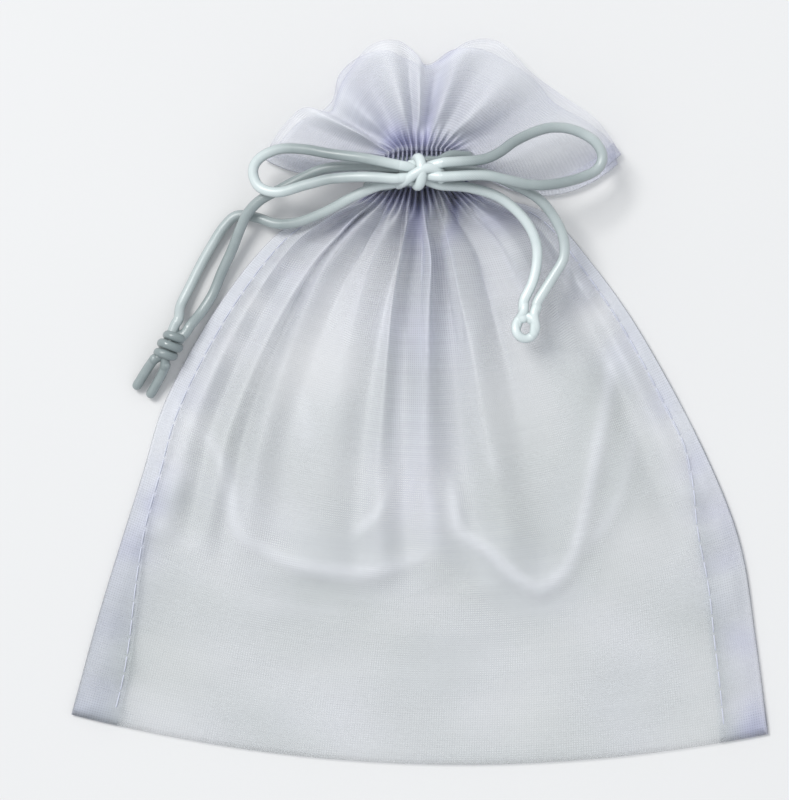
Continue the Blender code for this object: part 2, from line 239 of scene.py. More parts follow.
def satin_cord():
    """Smooth satin cord, pale mint grey, with the fine ribs of its woven skin."""
    n = Nodes("satin_cord")
    place = n.attribute("cord").outputs["Vector"]
    along, turn, _ = n.split(place)
    forward = n.math("MULTIPLY", along, 2 * math.pi / BRAID_PITCH)
    round_ = n.math("MULTIPLY", turn, 2 * math.pi * BRAID_STRANDS)
    rib = n.math("SINE", n.math("ADD", forward, round_))
    cross = n.math("SINE", n.math("SUBTRACT", forward, round_))
    skin = n.math("ADD", rib, cross)
    uneven = n.noise(n.scaled(place, (0.35, 1.2, 1.0)), 1.0, 3.0, 0.6)
    under = n.attribute("under").outputs["Fac"]
    # Painted light and shade on the satin: bright is the lit satin, grey the same satin in painted
    # shade, mixed along each cord by its painted shade value.
    painted_shade = n.attribute("painted_shade").outputs["Fac"]
    bright = n.mix(uneven, (0.66, 0.76, 0.76), (0.82, 0.89, 0.89))
    grey = n.mix(uneven, (0.17, 0.215, 0.22), (0.30, 0.35, 0.355))
    colour = n.mix(painted_shade, bright, grey)
    # Painted shade on each cord's underside, where it would lie in shade.
    colour = n.mix(n.math("MULTIPLY", under, 0.85, clamp=True), colour, (0.12, 0.16, 0.165))
    shade = n.math("MULTIPLY_ADD", skin, 0.03)
    shade.node.inputs[2].default_value = 0.32
    n.set(
        Base_Color=colour, Roughness=shade, Sheen_Weight=0.3, Sheen_Roughness=0.3,
        Normal=n.bump(skin, 0.14, 0.00005),
    )
    n.shader.inputs["Specular IOR Level"].default_value = 0.8
    n.shader.inputs["Coat Weight"].default_value = 0.25
    n.shader.inputs["Coat Roughness"].default_value = 0.22
    return n.material


TWIST_PITCH = 0.3


def thread():
    """Twisted sewing thread, lavender grey."""
    n = Nodes("thread")
    place = n.attribute("cord").outputs["Vector"]
    along, turn, _ = n.split(place)
    twist = n.math("SINE", n.math("ADD", n.math("MULTIPLY", along, 2 * math.pi / TWIST_PITCH),
                                  n.math("MULTIPLY", turn, 4 * math.pi)))
    colour = n.mix(n.noise(place, 0.8, 2.0), (0.66, 0.69, 0.82), (0.80, 0.82, 0.90))
    # Painted shade: the thread greyed to dark lavender where its stitches lie in shade, as along the
    # neck.
    colour = n.mix(n.attribute("painted_shade").outputs["Fac"], colour, (0.20, 0.21, 0.33))
    n.set(
        Base_Color=colour, Roughness=0.55, Sheen_Weight=0.2,
        Normal=n.bump(twist, 0.5, 0.00004),
    )
    return n.material


def paper():
    """The plain pale surface under the pouch."""
    n = Nodes("paper")
    spot = n.add("ShaderNodeTexCoord").outputs["Object"]
    tone = n.noise(spot, 14.0, 2.0)
    grain = n.noise(spot, 2500.0, 2.0)
    n.set(
        Base_Color=n.mix(tone, (0.80, 0.80, 0.80), (0.82, 0.82, 0.82)),
        Roughness=0.85, Normal=n.bump(grain, 0.05, 0.00005),
    )
    n.shader.inputs["Specular IOR Level"].default_value = 0.1
    return n.material


# Lines --------------------------------------------------------------------------------------

def resample(line, count):
    """The line again, as this many points spread evenly along it."""
    steps = np.linalg.norm(np.diff(line, axis=0), axis=1)
    along = np.concatenate([[0.0], np.cumsum(steps)])
    at = np.linspace(0.0, along[-1], count)
    return np.stack([np.interp(at, along, line[:, k]) for k in range(line.shape[1])], axis=1)


def length_of(line):
    """The length of a line of points."""
    return float(np.linalg.norm(np.diff(line, axis=0), axis=1).sum())


def curve(points, spacing):
    """Points about spacing apart along a Catmull-Rom curve through these points."""
    p = np.array(points, float)
    p = np.vstack([2 * p[0] - p[1], p, 2 * p[-1] - p[-2]])
    t = np.linspace(0.0, 1.0, 24, endpoint=False)[:, None]
    parts = [
        0.5 * (2 * b + (c - a) * t + (2 * a - 5 * b + 4 * c - d) * t**2
               + (3 * b - a - 3 * c + d) * t**3)
        for a, b, c, d in zip(p, p[1:], p[2:], p[3:])
    ]
    fine = np.vstack([*parts, p[-2][None]])
    return resample(fine, max(3, round(length_of(fine) / spacing) + 1))


def at_share(line, share):
    """The points these shares of the way along an evenly spaced line."""
    place = np.clip(np.asarray(share, float), 0.0, 1.0) * (len(line) - 1)
    index = np.arange(len(line))
    return [np.interp(place, index, line[:, k]) for k in range(line.shape[1])]


def ease(value, low, high):
    """0 before low, 1 after high, and smooth between."""
    t = np.clip((np.asarray(value, float) - low) / (high - low), 0.0, 1.0)
    return t * t * (3 - 2 * t)


def bell(value, middle, width):
    """1 at middle, falling smoothly to nearly 0 two widths away."""
    return np.exp(-(((value - middle) / width) ** 2))


# Outlines, in the row frame -----------------------------------------------------------------

NECK_LOW, NECK_HIGH = 30.5, 36.3
LEFT_EDGE = curve((
    (-50.05, -44.8), (-45.9, -29.7), (-40.1, -11.1), (-36.5, 0.4),
    (-29.4, 13.3), (-21.5, 23.3), (-15.2, 27.4), (-9.6, 29.2), (-6.7, NECK_LOW),
), 0.25)
RIGHT_EDGE = curve((
    (50.05, -47.6), (48.3, -34.0), (45.9, -19.7), (40.1, -5.4),
    (31.5, 10.4), (24.4, 20.4), (18.4, 27.0), (12.0, 29.2), (7.0, NECK_LOW),
), 0.25)
FRONT_RIM = curve((
    (-22.4, 34.9), (-20.6, 38.2), (-18.2, 41.2), (-16.2, 42.2), (-13.0, 41.6), (-12.2, 43.0),
    (-10.9, 46.4), (-7.4, 50.9), (-3.2, 51.8), (-0.4, 49.8), (0.9, 48.2), (3.4, 49.4),
    (7.2, 51.75), (11.5, 51.6), (15.8, 47.3), (20.1, 44.2), (25.4, 40.3), (28.9, 35.6),
), 0.25)
BACK_RIM = curve((
    (-21.4, 35.6), (-19.6, 38.0), (-17.0, 40.6), (-14.8, 41.4), (-12.6, 43.4), (-11.6, 47.0),
    (-8.8, 49.6), (-5.0, 50.6), (-1.6, 49.2), (1.4, 48.6), (4.6, 50.6), (8.6, 50.8),
    (12.6, 49.0), (16.4, 46.4), (19.4, 43.0), (23.6, 40.6), (27.4, 37.4), (28.4, 34.2),
), 0.25)

# Folds in the front: a line, its ridge's height, how much higher the cloth lies on its left,
# and how wide it is
FOLDS = (
    (((-37.5, 4.5), (-35.1, -0.6), (-31.6, -4.0), (-28.5, -8.2), (-27.2, -13.0), (-26.2, -18.3),
      (-21.8, -21.4), (-17.1, -23.3), (-9.3, -24.4), (-4.0, -23.6), (-0.1, -22.1), (4.0, -19.8)),
     1.3, 1.7, 1.7),
    (((3.2, -8.0), (4.6, -13.0), (5.7, -18.3), (9.6, -21.2), (13.4, -24.6), (17.3, -26.6),
      (21.1, -23.6), (22.6, -20.0), (23.6, -15.5), (24.8, -9.0), (26.6, 0.0), (27.6, 7.5),
      (26.8, 12.5)),
     1.3, 1.6, 1.6),
    (((22.0, -22.5), (25.4, -18.6), (28.4, -14.0), (30.2, -7.0), (31.2, 0.0)), 0.5, 0.4, 1.5),
    (((11.0, 13.4), (17.0, 8.2), (22.0, 6.8), (26.6, 11.0)), -0.8, 0.3, 1.3),
    (((-42.0, -9.0), (-38.7, -12.5), (-33.0, -15.6), (-27.2, -18.3)), -1.2, 0.3, 1.5),
    (((-38.0, -17.0), (-34.0, -20.0), (-29.0, -21.5)), 0.6, 0.3, 2.4),
    (((-10.7, -19.7), (-6.8, -16.4), (-4.3, -12.5), (-3.4, -5.0), (-3.0, 4.0), (-2.6, 14.0)),
     0.8, -0.6, 1.4),
    (((-36.0, -20.0), (-30.0, -26.0), (-20.0, -29.4), (-8.0, -30.6)), 0.25, 0.15, 2.2),
    (((8.0, 14.0), (7.4, 4.0), (8.6, -4.0), (12.0, -12.0)), 0.35, 0.35, 1.6),
    (((26.0, 13.0), (26.6, 5.0), (25.0, -4.0), (22.0, -10.0)), -0.5, 0.3, 1.8),
    (((-27.0, 11.0), (-21.0, 7.0), (-17.0, 0.0), (-16.0, -8.0)), 0.35, -0.3, 2.2),
)


def fold_heights(x, y):
    """How much the folds lift the front cloth, where their crests are, for a painted highlight, and
    their low sides, for painted shade.
    """
    rise, painted_highlight, low = np.zeros_like(x), np.zeros_like(x), np.zeros_like(x)
    for points, ridge, step, width in FOLDS:
        line = curve(points, 1.2)
        a, d = line[:-1], np.diff(line, axis=0)
        size = (d * d).sum(1)
        px, py = x[..., None] - a[:, 0], y[..., None] - a[:, 1]
        t = np.clip((px * d[:, 0] + py * d[:, 1]) / size, 0.0, 1.0)
        away = np.hypot(px - t * d[:, 0], py - t * d[:, 1])
        near = away.argmin(axis=-1)
        pick = np.take_along_axis
        distance = pick(away, near[..., None], -1)[..., 0]
        cross = pick(d[:, 0] * py - d[:, 1] * px, near[..., None], -1)[..., 0]
        place = (near + pick(t, near[..., None], -1)[..., 0]) / len(d)
        taper = ease(place, 0.0, 0.10) * ease(1.0 - place, 0.0, 0.16)
        left = np.sign(cross) * distance
        fade = np.exp(-((distance / (4.5 * width)) ** 2))
        rise += taper * (ridge * np.exp(-((distance / width) ** 2))
                         + step * np.tanh(left / width) * 0.5 * fade)
        if ridge > 0:
            painted_highlight = np.maximum(painted_highlight, taper * ridge * np.exp(-((distance / (0.6 * width)) ** 2)))
            low = np.maximum(low, taper * ridge * bell(left, -2.0 * width, 1.1 * width))
            low = np.maximum(low, 0.6 * taper * ridge * bell(left, 2.2 * width, 1.2 * width))
        else:
            low = np.maximum(low, -taper * ridge * bell(distance, 0.0, width))
    return rise, painted_highlight, low


def ripples(x, y, seed, count, shortest, longest, upright):
    """Small smooth wrinkles; upright is from 0, lines along X, to 1, lines any way."""
    random = np.random.default_rng(seed)
    total = np.zeros_like(x)
    for _ in range(count):
        wave = random.uniform(shortest, longest)
        angle = math.pi / 2 + upright * random.uniform(-1.4, 1.4)
        phase = random.uniform(0.0, 2 * math.pi)
        total += np.sin(2 * math.pi / wave * (math.cos(angle) * x + math.sin(angle) * y) + phase)
    return total / math.sqrt(count)


# The cloth ----------------------------------------------------------------------------------

CUT_WIDTH = 100.0  # between the side seams
ALLOWANCE = 7.0  # turned in at each side
BODY_LENGTH = 93.5  # from the bottom fold to the channel
CHANNEL_LENGTH = 7.0
HEADER_LENGTH = 15.5
PLY_GAP = 0.22
MIDDLE = 3.5  # the height of the gathered neck's centre
NECK_HALF = 3.1  # and half its thickness
FINE_PLEATS = 20
MEDIUM_PLEATS = 9
TALLEST = 4.4  # the tallest pleats in the front panel, and in the back panel
BACK_TALLEST = 3.1
LOW_MIDDLE = -51.95  # the middle of the bottom fold
FOLD_HEIGHT = 0.45  # above the surface
PLEAT_REACH = 20  # columns over which the look of the pleats' packing is evened out


def pleats(u, count, wobble, seed):
    """A wave across the cloth with uneven pleats, from 0 in a valley to 1 on a ridge."""
    random = np.random.default_rng(seed)
    phase = count * u
    for k in (1.0, 2.3, 3.7):
        phase = phase + wobble / k * np.sin(2 * math.pi * (k * u + random.uniform()))
    return 0.5 + 0.5 * np.cos(2 * math.pi * phase)


def fine_pleats(side, u):
    """The neck's pleats, which run on a little way into the panel and the header."""
    return pleats(u, FINE_PLEATS, 0.22, 3 if side > 0 else 8)


def neck_height(side, u, fine, shallow=0.0):
    """The height of the gathered cloth at the neck, whose pleats are from 0, deepest, to 1, shallow.
    """
    round_ = np.sqrt(np.clip(1 - (2 * u - 1) ** 2 * 0.96, 0.0, 1.0))
    valley = 0.10 + 0.45 * shallow
    return MIDDLE + side * (0.12 + NECK_HALF * round_ * (valley + (1 - valley) * fine))


def sideways(u, wide, down, side):
    """How far the pleats lean over sideways, which lays the spare width over on itself."""
    spare = np.clip(CUT_WIDTH - wide, 0.0, None)
    lean = ease(down, 2.0, 14.0) * np.exp(-((down / 42.0) ** 2)) * spare / (4 * MEDIUM_PLEATS)
    random = np.random.default_rng(31 if side > 0 else 32)
    phase = MEDIUM_PLEATS * u + 0.25 * np.sin(2 * math.pi * (1.7 * u + random.uniform()))
    inward = ease(4 * u * (1 - u), 0.03, 0.35)
    return 0.62 * lean * inward * np.sin(2 * math.pi * phase)


def body(side, u, v):
    """Where the cloth of one panel lies: v runs from the bottom fold to the neck."""
    left, right = at_share(LEFT_EDGE, v), at_share(RIGHT_EDGE, v)
    x = left[0] + (right[0] - left[0]) * u
    middle = LOW_MIDDLE + (NECK_LOW - LOW_MIDDLE) * v
    sag = middle - (left[1] + right[1]) / 2
    y = left[1] + (right[1] - left[1]) * u + sag * 4 * u * (1 - u)
    down = (1 - v) * BODY_LENGTH
    wide = right[0] - left[0]
    mound = np.clip(4 * u * (1 - u), 0.0, 1.0)
    fine = fine_pleats(side, u)
    medium = pleats(u, MEDIUM_PLEATS, 0.45, 5)
    broad = pleats(u, 3, 0.12, 6)
    fine_part = np.exp(-((down / 2.6) ** 1.5))
    medium_part = ease(down, 1.0, 6.0) * np.exp(-((down / 30.0) ** 1.6))
    # Two dark valleys run straight down from the knot, so they cross the fan of the pleats
    streak = (0.72 * bell(u, 0.465, 0.045) + 1.10 * bell(u, 0.79 - 0.018 * down, 0.040)
              + 0.3 * bell(u, 0.26, 0.02) + 0.2 * bell(u, 0.86, 0.02))
    streak_part = np.exp(-((down / 8.0) ** 2.2)) * ease(down, 0.0, 2.0)
    depth = np.clip(fine_part * (1 - fine) * 0.80 + streak_part * streak * 0.6, 0.0, 0.95)
    need = np.clip((0.88 * CUT_WIDTH / wide) ** 2 - 1.0, 0.0, None) ** 0.5
    fold_height = np.minimum(need * wide / (2 * MEDIUM_PLEATS), TALLEST) * ease(down, 0.0, 6.0)
    uneven = 1.0 + 0.45 * np.sin(2 * math.pi * (2.1 * u + 0.08)) * ease(down, 8.0, 25.0)
    fold_height = np.minimum(fold_height * uneven, TALLEST) * mound**0.35
    gather = ease(-down, -8.0, 0.0)
    x = x + sideways(u, wide, down, side)
    if side > 0:
        crown = 0.9 + 3.9 * ease(v, 0.18, 0.58) - 0.5 * ease(v, 0.7, 0.9)
        lobes = 0.55 * ease(v, 0.25, 0.5) * ease(1 - v, 0.1, 0.3) * (
            bell(u, 0.27, 0.16) + bell(u, 0.73, 0.15) - 0.9 * bell(u, 0.5, 0.09))
        rise, painted_highlight, low = (part * mound**0.4 for part in fold_heights(x, y))
        flat = 0.55 + (crown + lobes) * mound**0.55 * (1 - depth)
        small = (0.07 * ripples(x, y, 4, 9, 5.0, 12.0, 1.0)
                 + 0.10 * ripples(x, y, 7, 6, 6.0, 11.0, 0.12) * ease(-y, 12.0, 30.0))
        flat = flat + (rise + small) * ease(mound, 0.02, 0.25) + 0.5 * medium_part * (broad - 0.5)
        flat = flat - fold_height * (1 - medium)
        least = 0.62 + 0.35 * ease(mound, 0.0, 0.1) + np.minimum(fold_height, BACK_TALLEST) * medium
        flat = least + np.logaddexp(0.0, (flat - least) * 4.0) / 4.0
    else:
        painted_highlight, low = np.zeros_like(x), np.zeros_like(x)
        small = 0.06 * (1 + ripples(x, y, 14, 9, 6.0, 13.0, 1.0))
        flat = 0.27 + np.clip(small, 0.0, 0.3) + np.minimum(fold_height, BACK_TALLEST) * medium
    height = flat * (1 - gather) + neck_height(side, u, fine) * gather
    edge = ease(mound, 0.10, 0.0)
    seam = 0.45 + (MIDDLE - 0.45) * gather
    height = height * (1 - edge) + (seam + side * 0.12) * edge
    # Puckers where the side seams draw the cloth up
    inward = np.minimum(u, 1 - u) * wide
    pucker = np.sin(2 * math.pi * v * BODY_LENGTH / 8.7 + 1.3 * np.sin(v * 17.0)) * bell(
        inward, 3.6, 3.2)
    if side > 0:
        height = height + 0.30 * (pucker + 0.4) * (1 - edge) * ease(down, 6.0, 14.0)
    # The ramp's factor: darker at the gathered neck, from the lavender of many layers and from
    # painted shade in the pleats; painted shade in the two streaks from the knot, on the folds' low
    # sides and in the puckers' troughs; darker down a middle column, at the bottom corners and at
    # the lower left.
    layering_and_shade = np.exp(-((down / 2.6) ** 2)) * (0.62 + 0.38 * (1 - fine)) * (0.5 + 0.5 * mound**0.5)
    column = bell(u, 0.51, 0.075) * np.exp(-((down / 34.0) ** 2))
    layering_and_shade = layering_and_shade + streak_part * streak * 0.62 + 0.10 * column + 0.05 * low
    layering_and_shade = layering_and_shade + 0.10 * np.clip(-pucker, 0.0, 1.0)
    tone = 0.34 * ease(1 - v, 0.50, 0.72) + 0.20 * ripples(x, y, 41, 7, 9.0, 26.0, 1.0)
    # Denser, so more opaque: more so on the folds' low sides, as painted shade, and where the
    # painted highlights are.
    extra = 1.0 + 0.30 * pucker + 0.45 * column + 0.35 * low + 0.6 * painted_highlight + tone
    corner = bell(inward, 2.0, 4.5) * ease(5.0 - v * BODY_LENGTH, 0.0, 5.0)
    patch = ripples(x, y, 47, 7, 7.0, 17.0, 1.0) * bell(inward, 2.5, 3.6)
    extra = extra + 0.35 * patch * (1 - corner)
    low_left = bell(inward, 1.5, 5.0) * ease(1 - v, 0.55, 0.85) * ease(0.5 - u, 0.0, 0.3)
    extra = extra + 1.1 * corner + 0.5 * low_left
    layering_and_shade = layering_and_shade + 0.25 * corner + 0.10 * low_left + 0.07 * np.clip(patch, 0.0, 1.5)
    # A painted shadow: grey laid over the cloth in soft patches, more toward the bottom and at the
    # lower left, less on the painted highlights and next to the side seams.
    grey_and_shadow = 0.62 * ease(1 - v, 0.18, 0.45) + 0.16 * ripples(x, y, 43, 8, 11.0, 30.0, 1.0)
    grey_and_shadow = grey_and_shadow + 0.30 * bell(np.hypot(x - 26.0, y - 10.0), 0.0, 8.0) + 0.25 * bell(
        np.hypot(x + 4.0, y - 5.0), 0.0, 5.0) + 0.35 * bell(np.hypot(x - 20.0, y + 7.0), 0.0, 12.0)
    grey_and_shadow = grey_and_shadow - 0.5 * bell(np.hypot(x - 1.0, y + 8.0), 0.0, 9.0)
    grey_and_shadow = grey_and_shadow + 0.35 * bell(np.hypot((x - 9.0) / 1.6, y - 19.0), 0.0, 5.0)
    grey_and_shadow = grey_and_shadow * ease(inward, 1.0, 8.0) * (1 - 0.8 * painted_highlight) + 0.45 * low_left + 0.2 * corner
    grey_and_shadow = np.clip(grey_and_shadow, 0.0, 0.9)
    # Painted highlights: paler just inside the side seams and on the body's shoulders, which are
    # also made less opaque.
    pale = 0.75 * bell(inward, 0.0, 4.5) * ease(v, 0.30, 0.5) * ease(1 - v, 0.03, 0.15)
    shoulder = bell(down, 22.0, 14.0) * (bell(u, 0.24, 0.14) + 0.6 * bell(u, 0.74, 0.11))
    extra = extra - 0.45 * shoulder
    pale = pale + 0.55 * shoulder
    # A painted highlight on the neck's fine ridges beside the streaks, where the cloth is also made
    # less opaque.
    bright = (1.4 * bell(u, 0.68 - 0.015 * down, 0.050) * bell(down, 4.5, 4.0)
              + 0.4 * bell(down, 5.0, 3.0) * fine)
    painted_highlight = np.clip(painted_highlight * 0.75 + pale + 0.8 * bright * (1 - streak), 0.0, 1.0)
    extra = extra - 0.35 * np.clip(bright * (1 - streak), 0.0, 1.0) + 0.12 * bell(down, 46.0, 13.0)
    return x, y, height, layering_and_shade, painted_highlight, extra, grey_and_shadow


def channel(side, u, c):
    """The sewn channel, crushed round the drawstrings: c runs up from 0 to 1."""
    x = (-6.7 + 0.45 * c) * (1 - u) + (7.0 - 0.35 * c) * u
    outer = np.abs(2 * u - 1) ** 4
    y = NECK_LOW + c * (NECK_HIGH - NECK_LOW - 2.2 * outer)
    fine = fine_pleats(side, u)
    height = neck_height(side, u, fine, ease(c, 0.5, 1.0) if side > 0 else 0.0)
    edge = ease(4 * u * (1 - u), 0.10, 0.0)
    height = height * (1 - edge) + (MIDDLE + side * 0.12) * edge
    # Darker at the neck: the lavender of many layers, and painted shade in the pleats, less toward
    # the channel's top.
    layering_and_shade = (0.62 + 0.38 * (1 - fine)) * (1.0 - 0.80 * c)
    zero = np.zeros_like(x)
    return x, y, height, layering_and_shade + zero, zero, zero + 1.0, zero


def header(side, u, w):
    """The frill above the channel: w runs from the channel to the rim."""
    x0, y0, z0, *_ = channel(side, u, 1.0)
    rim_x, rim_y = at_share(FRONT_RIM if side > 0 else BACK_RIM, u)
    reach = np.hypot(rim_x - x0, rim_y - y0)
    hang_right, hang_left = ease(u, 0.80, 1.0), ease(1 - u, 0.86, 1.0)
    bend_x = (x0 + rim_x) / 2 + 0.6 * hang_right - 0.4 * hang_left
    bend_y = (y0 + rim_y) / 2 - 9.0 * hang_right - 4.0 * hang_left
    x = (1 - w) ** 2 * x0 + 2 * w * (1 - w) * bend_x + w * w * rim_x
    y = (1 - w) ** 2 * y0 + 2 * w * (1 - w) * bend_y + w * w * rim_y
    fine = fine_pleats(side, u)
    medium = pleats(u, 8, 0.30, 15)
    lobe = (bell(u, 0.13, 0.07) + bell(u, 0.40, 0.09) + bell(u, 0.68, 0.10)
            + 0.8 * bell(u, 0.90, 0.06))
    out = w * reach
    fine_part = np.exp(-((out / 2.0) ** 1.5))
    medium_part = ease(out, 1.0, 6.0) * (1 - 0.55 * ease(w, 0.5, 1.0))
    if side > 0:
        flat = 1.9 + 2.2 * lobe * (0.35 + 0.65 * np.sin(math.pi * np.clip(w, 0, 1)) ** 0.8)
        flat = flat + 2.9 * medium_part * (medium - 0.25)
        flat = flat + 2.6 * (1 - ease(out, 2.0, 13.0)) * (4 * u * (1 - u)) ** 0.5
        flat = flat + 0.10 * ripples(x, y, 24, 8, 4.0, 9.0, 1.0)
        flat = 1.9 + np.logaddexp(0.0, (flat - 1.9) * 4.0) / 4.0
    else:
        flat = 0.30 + 1.2 * medium_part * medium
        flat = flat + 0.05 * (1 + ripples(x, y, 25, 8, 4.0, 9.0, 1.0))
        flat = np.clip(flat, 0.26, 1.5)
    # The root's pleats give way to the open frill
    height = z0 * fine_part + flat * (1 - fine_part)
    edge = ease(4 * u * (1 - u), 0.16, 0.0)
    seam = 1.0 + (MIDDLE - 1.0) * fine_part
    height = height * (1 - edge) + (seam + side * 0.12) * edge
    # Darker: painted shade in the root's pleats and in the valleys between the lobes, which are also
    # more opaque; a darker patch beside the knot, and at the right tip; the rim's hem darker in its
    # own colour.
    layering_and_shade = fine_part * (0.10 + 0.10 * (1 - fine)) + 0.04 * medium_part * (1 - medium) ** 2
    layering_and_shade = layering_and_shade + 0.40 * bell(np.hypot(x + 2.4, y - 37.8), 0.0, 2.4)
    layering_and_shade = layering_and_shade + 0.06 * np.exp(-((out / 8.0) ** 2))
    layering_and_shade = layering_and_shade + 0.35 * bell(u, 0.975, 0.03) * ease(w, 0.55, 1.0)
    valley = bell(u, 0.53, 0.040) + 0.8 * bell(u, 0.245, 0.03) + 0.4 * bell(u, 0.80, 0.03)
    layering_and_shade = layering_and_shade + 0.12 * valley * (1 - 0.55 * w)
    # A painted highlight on the lobes and on the medium pleats' ridges, away from the root.
    lobe = np.maximum(lobe, 0.8 * ease(u, 0.74, 0.84))
    painted_highlight = (0.60 * lobe + 0.35 * np.clip(medium - 0.6, 0.0, 1.0)) * (1 - fine_part) ** 2
    rim = 0.16 * ease(w, 0.93, 1.0)
    return x, y, height, layering_and_shade + rim, painted_highlight + 0 * x, 0.75 + 0.6 * rim + 0.4 * valley, 0 * x


def rows_of(side):
    """One half of the strip, from the bottom fold up to the rim and down inside to its hem.

    Each row is a part of the cloth, its place in that part, which of the two plies it is on,
    and how far along the cut strip it lies.
    """
    rows = [(body, v, 0.0, v * BODY_LENGTH) for v in np.linspace(0.0, 1.0, 98) ** 0.93]
    top = BODY_LENGTH + CHANNEL_LENGTH
    rows += [(channel, c, 0.0, BODY_LENGTH + c * CHANNEL_LENGTH)
             for c in np.linspace(0.0, 1.0, 10)[1:]]
    rows += [(header, w, 0.0, top + w * HEADER_LENGTH) for w in np.linspace(0.0, 1.0, 27)[1:]]
    fold = top + HEADER_LENGTH
    rows += [(header, w, 1.0, fold + (1 - w) * HEADER_LENGTH)
             for w in np.linspace(1.0, 0.0, 17)[:-1]]
    fold += HEADER_LENGTH
    rows += [(channel, c, 1.0, fold + (1 - c) * CHANNEL_LENGTH)
             for c in np.linspace(1.0, 0.0, 5)]
    return rows


def columns():
    """Places across the cut strip: the turned-in allowances are below 0 and past CUT_WIDTH."""
    inner = np.linspace(0.0, CUT_WIDTH, 283)
    turned = np.linspace(0.0, ALLOWANCE, 11)[1:]
    return np.concatenate([-turned[::-1], inner, CUT_WIDTH + turned])


def rolled(part, place):
    """How wide the turned-in allowances lie, left and right, as shares of their cut width."""
    v = place if part is body else 1.0
    return 0.94 - 0.50 * float(ease(v, 0.06, 0.36)), 1.0 - 0.58 * float(ease(v, 0.30, 0.48))


def cloth_rows(side):
    """The grid of one half: points, attributes and places on the cut strip, row by row."""
    flat_x = columns()
    share = flat_x / CUT_WIDTH
    turned = np.maximum(np.maximum(-share, share - 1.0), 0.0) * CUT_WIDTH / ALLOWANCE
    grid, extras = [], []
    for part, place, ply, along in rows_of(side):
        left, right = rolled(part, place)
        u = np.where(share < 0, -share * left, share)
        u = np.where(share > 1, 1.0 - (share - 1.0) * right, u)
        x, y, z, layering_and_shade, painted_highlight, extra, grey_and_shadow = part(side, u, place)
        inside = ply * PLY_GAP + np.sqrt(turned) * 0.10 + 0.04 * (turned > 0)
        grid.append(np.stack([x, y, z - side * inside], axis=1))
        extras.append(np.stack(
            [layering_and_shade, painted_highlight, extra, flat_x, side * along + 0 * x, grey_and_shadow], axis=1))
    return np.array(grid), np.array(extras)


def quads(rows, count):
    """Faces of a grid with this many rows and columns."""
    index = np.arange(rows * count).reshape(rows, count)
    return np.stack([
        index[:-1, :-1], index[:-1, 1:], index[1:, 1:], index[1:, :-1],
    ], axis=-1).reshape(-1, 4)


def make_mesh(name, points, faces, material, values=(), vectors=()):
    """A smooth mesh object from points in millimetres, with named values at its points."""
    mesh = bpy.data.meshes.new(name)
    mesh.from_pydata((np.asarray(points) * MM).tolist(), [], np.asarray(faces).tolist())
    for label, data in values:
        layer = mesh.attributes.new(label, "FLOAT", "POINT")
        layer.data.foreach_set("value", np.asarray(data, np.float32).ravel())
    for label, data in vectors:
        layer = mesh.attributes.new(label, "FLOAT_VECTOR", "POINT")
        layer.data.foreach_set("vector", np.asarray(data, np.float32).ravel())
    mesh.shade_smooth()
    mesh.materials.append(material)
    made = bpy.data.objects.new(name, mesh)
    bpy.context.scene.collection.objects.link(made)
    return made


def packing(grid, extras):
    """How many times more cloth lies at each point than a flat sheet would."""
    along = np.gradient(grid[..., :2], axis=0)
    across = np.gradient(grid[..., :2], axis=1)
    shown = np.abs(along[..., 0] * across[..., 1] - along[..., 1] * across[..., 0])
    cut = np.abs(np.gradient(extras[..., 3], axis=1) * np.gradient(extras[..., 4], axis=0))
    packed = np.clip(cut / np.maximum(shown, 0.02 * cut), 0.75, 7.0)
    reach = np.arange(-PLEAT_REACH, PLEAT_REACH + 1)
    weights = np.exp(-((2.0 * reach / PLEAT_REACH) ** 2))
    padded = np.pad(packed, ((0, 0), (PLEAT_REACH, PLEAT_REACH)), mode="edge")
    even = sum(
        weight * padded[:, start : start + packed.shape[1]]
        for start, weight in enumerate(weights / weights.sum())
    )
    return (0.22 * packed + 0.78 * even) ** 0.8


def add_cloth(material):
    """The one strip of cloth that the pouch is folded and sewn from."""
    front, front_extras = cloth_rows(1)
    back, back_extras = cloth_rows(-1)
    dense = np.concatenate([packing(back, back_extras)[::-1], packing(front, front_extras)[1:]])
    grid = np.concatenate([back[::-1], front[1:]])
    extras = np.concatenate([back_extras[::-1], front_extras[1:]])
    fold = len(back) - 1
    grid[fold, :, 2] = FOLD_HEIGHT
    dense = np.minimum(dense, 7.0) * extras[..., 2]
    count = grid.shape[1]
    place = np.stack([extras[..., 3], extras[..., 4], 0 * extras[..., 3]], axis=-1)
    cloth = make_mesh(
        "pouch_cloth", grid.reshape(-1, 3), quads(len(grid), count), material,
        values=(("dense", dense), ("layering_and_shade", np.clip(extras[..., 0], 0, 1)),
                ("painted_highlight", np.clip(extras[..., 1], 0, 1)), ("grey_and_shadow", extras[..., 5])),
        vectors=(("cloth", place),),
    )
    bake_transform(cloth)
    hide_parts("front_panel", "back_panel", "gathered_channel", "header_front",
                "header_back", "left_side_seam", "right_side_seam")


# Cords and thread ---------------------------------------------------------------------------

CORD_RADIUS = 0.75
CAP_ANGLES = np.radians((12.0, 35.0, 60.0))  # of the rings that round off a tube's ends
CORD_STEP = 0.4  # between the points along a cord, and along the strands of a knot
STRAND_STEP = 0.3


